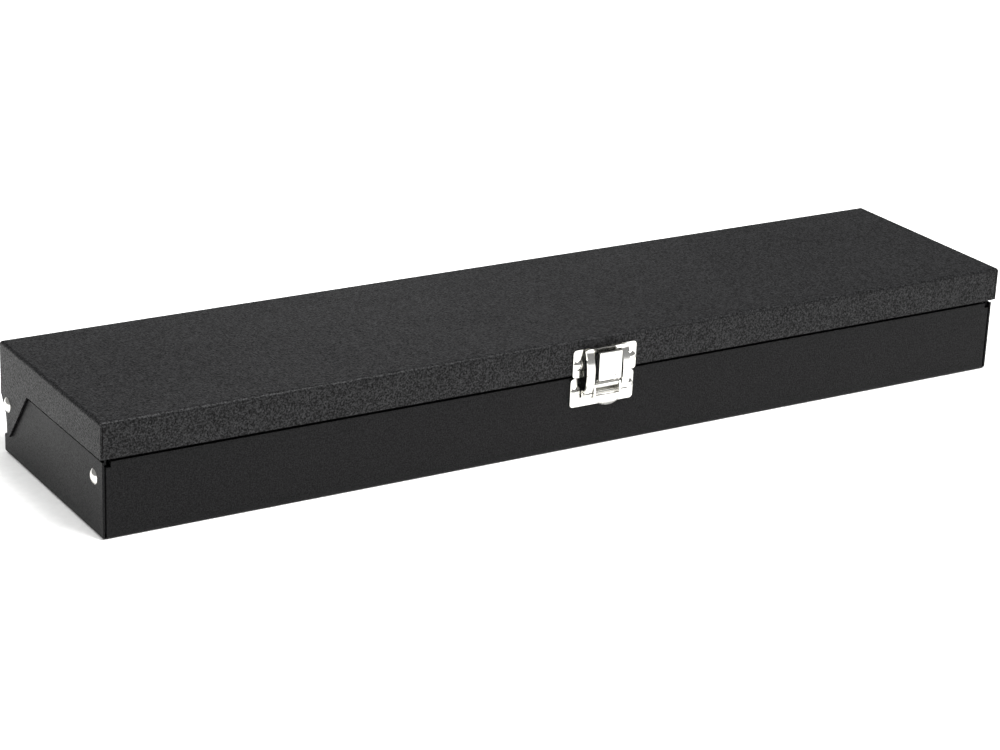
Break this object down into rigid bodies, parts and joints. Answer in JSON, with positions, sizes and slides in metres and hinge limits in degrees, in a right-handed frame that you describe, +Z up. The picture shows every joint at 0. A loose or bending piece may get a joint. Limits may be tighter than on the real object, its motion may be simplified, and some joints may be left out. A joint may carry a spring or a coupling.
{
  "type": "socket wrench set in case",
  "caption": "Long slim black sheet-steel tool case with a hinged lid and a toggle latch, holding half-inch-drive sockets, a ratchet, a flex handle, an extension and a universal joint in foam.",
  "frame": {"origin": "on the case's underside, at the centre of the lid's footprint", "axes": "+X along the case, towards its right end seen from the latch; -Y towards the latch, +Y towards the hinge; +Z up through the lid"},
  "size_m": [0.4608, 0.1108, 0.051],
  "materials": {
    "black_textured_coat": "fine wrinkle powder coat",
    "black_satin_coat": "satin powder coat",
    "bright_nickel": "bright nickel plate",
    "tool_chrome": "satin chrome plate",
    "hardened_steel": "black oxide",
    "eva_foam": "closed-cell foam"
  },
  "bodies": {
    "case_base": {"base_tray": "black_satin_coat", "foam_floor": "eva_foam", "foam_socket_bed_left": "eva_foam", "foam_socket_bed_right": "eva_foam", "foam_joint_bed": "eva_foam", "foam_handle_bed": "eva_foam", "hinge_rivets": "bright_nickel", "corner_rivets": "bright_nickel", "latch_base_plate": "bright_nickel", "latch_lever_pin": "bright_nickel", "latch_base_rivets": "bright_nickel", "ratchet_body": "tool_chrome", "ratchet_cover": "tool_chrome", "flex_handle": "tool_chrome", "extension_bar": "tool_chrome", "universal_joint_female_yoke": "tool_chrome", "ratchet_screws": "hardened_steel", "flex_handle_pin": "hardened_steel", "socket_10mm": "tool_chrome", "socket_11mm": "tool_chrome", "socket_12mm": "tool_chrome", "socket_13mm": "tool_chrome", "socket_14mm": "tool_chrome", "socket_15mm": "tool_chrome", "socket_16mm": "tool_chrome", "socket_17mm": "tool_chrome", "socket_18mm": "tool_chrome", "socket_19mm": "tool_chrome", "socket_21mm": "tool_chrome", "socket_22mm": "tool_chrome"},
    "lid": {"lid_shell": "black_textured_coat", "latch_keeper": "bright_nickel", "latch_keeper_rivets": "bright_nickel"},
    "latch_lever": {"latch_lever": "bright_nickel", "latch_bail_pin": "bright_nickel"},
    "latch_bail": {"latch_bail": "bright_nickel"},
    "ratchet_drive": {"ratchet_drive_gear": "hardened_steel"},
    "ratchet_button": {"ratchet_release_button": "hardened_steel"},
    "ratchet_ball": {"ratchet_ball": "hardened_steel"},
    "ratchet_selector": {"ratchet_selector": "tool_chrome"},
    "ratchet_pawl": {"ratchet_pawl": "hardened_steel"},
    "flex_head": {"flex_head": "tool_chrome"},
    "flex_ball": {"flex_head_ball": "hardened_steel"},
    "extension_ball": {"extension_ball": "hardened_steel"},
    "joint_cross": {"universal_joint_cross": "hardened_steel"},
    "joint_male_yoke": {"universal_joint_male_yoke": "tool_chrome"},
    "joint_ball": {"universal_joint_ball": "hardened_steel"}
  },
  "joints": [
    {"name": "lid_hinge", "type": "hinge", "parent": "case_base", "child": "lid", "pos_m": [0, 0.0449, 0.0242], "axis": [-1, 0, 0], "range_deg": [0, 100]},
    {"name": "latch_lever_hinge", "type": "hinge", "parent": "case_base", "child": "latch_lever", "pos_m": [0.007, -0.0543, 0.0302], "axis": [-1, 0, 0], "range_deg": [0, 90]},
    {"name": "latch_bail_hinge", "type": "hinge", "parent": "latch_lever", "child": "latch_bail", "pos_m": [0.007, -0.0539, 0.026], "axis": [-1, 0, 0], "range_deg": [-90, 0]},
    {"name": "ratchet_drive_spin", "type": "hinge", "parent": "case_base", "child": "ratchet_drive", "pos_m": [-0.147, 0.0036, 0.02], "axis": [0, 0, 1], "continuous": true},
    {"name": "ratchet_button_press", "type": "slide", "parent": "ratchet_drive", "child": "ratchet_button", "axis": [0, 0, -1], "range_m": [0, 0.0015], "stiffness_N_per_m": 300, "springref_m": -0.002},
    {"name": "ratchet_ball_retract", "type": "slide", "parent": "ratchet_drive", "child": "ratchet_ball", "axis": [-1, 0, 0], "range_m": [0, 0.0007]},
    {"name": "ratchet_selector_turn", "type": "hinge", "parent": "case_base", "child": "ratchet_selector", "pos_m": [-0.1296, 0.0036, 0.038], "axis": [0, 0, 1], "range_deg": [-60, 0]},
    {"name": "ratchet_pawl_rock", "type": "hinge", "parent": "case_base", "child": "ratchet_pawl", "pos_m": [-0.1296, 0.0036, 0.028], "axis": [0, 0, 1], "range_deg": [-9.3, 0]},
    {"name": "flex_head_hinge", "type": "hinge", "parent": "case_base", "child": "flex_head", "pos_m": [-0.183, 0.0296, 0.0146], "axis": [0, 1, 0], "range_deg": [0, 90]},
    {"name": "flex_ball_retract", "type": "slide", "parent": "flex_head", "child": "flex_ball", "axis": [0, 0, -1], "range_m": [0, 0.0007], "stiffness_N_per_m": 200, "springref_m": -0.001},
    {"name": "extension_ball_retract", "type": "slide", "parent": "case_base", "child": "extension_ball", "axis": [0, 0, -1], "range_m": [0, 0.0007], "stiffness_N_per_m": 200, "springref_m": -0.001},
    {"name": "joint_cross_tilt", "type": "hinge", "parent": "case_base", "child": "joint_cross", "pos_m": [0.156, -0.032, 0.014], "axis": [0, -1, 0], "range_deg": [0, 35]},
    {"name": "joint_yoke_swing", "type": "hinge", "parent": "joint_cross", "child": "joint_male_yoke", "pos_m": [0.156, -0.032, 0.014], "axis": [0, 0, 1], "range_deg": [0, 20]},
    {"name": "joint_ball_retract", "type": "slide", "parent": "joint_male_yoke", "child": "joint_ball", "axis": [0, 0, -1], "range_m": [0, 0.0007], "stiffness_N_per_m": 200, "springref_m": -0.001}
  ],
  "couplings": [
    {"joint": "latch_bail_hinge", "follows": "latch_lever_hinge", "ratio": -1},
    {"joint": "ratchet_pawl_rock", "follows": "ratchet_selector_turn", "ratio": 0.1533},
    {"joint": "ratchet_ball_retract", "follows": "ratchet_button_press", "ratio": 0.4666}
  ]
}
